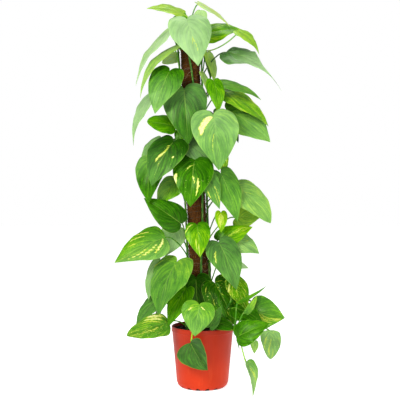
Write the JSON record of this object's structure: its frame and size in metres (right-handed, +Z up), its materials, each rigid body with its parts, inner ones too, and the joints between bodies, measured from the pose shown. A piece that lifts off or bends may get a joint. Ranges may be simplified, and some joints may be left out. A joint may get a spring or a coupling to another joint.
{
  "type": "golden pothos on coir pole in nursery pot",
  "caption": "Variegated heart-leaved climbing houseplant whose stems climb a round coir pole standing in a tapered plastic nursery pot filled with potting soil, with a few shoots hanging over the rim.",
  "frame": {"origin": "centre of the pot's underside, on the pot's axis", "axes": "+Z up along the pot's axis; -Y towards the front of the plant, the side in the picture; +X to the right of that view"},
  "size_m": [0.4529, 0.2948, 1.0436],
  "materials": {
    "terracotta_plastic": "satin",
    "potting_soil": "matte",
    "core_wood": "matte",
    "coir_fibre": "matte",
    "pothos_leaf": "satin"
  },
  "bodies": {
    "root": {"pot": "terracotta_plastic", "soil": "potting_soil", "pole_core": "core_wood", "pole_coir": "coir_fibre", "vine_front": "pothos_leaf", "vine_left": "pothos_leaf", "vine_right": "pothos_leaf", "vine_back_left": "pothos_leaf", "vine_back_right": "pothos_leaf", "shoot_left": "pothos_leaf", "shoot_front": "pothos_leaf", "shoot_right": "pothos_leaf", "shoot_trailing": "pothos_leaf"}
  },
  "joints": []
}
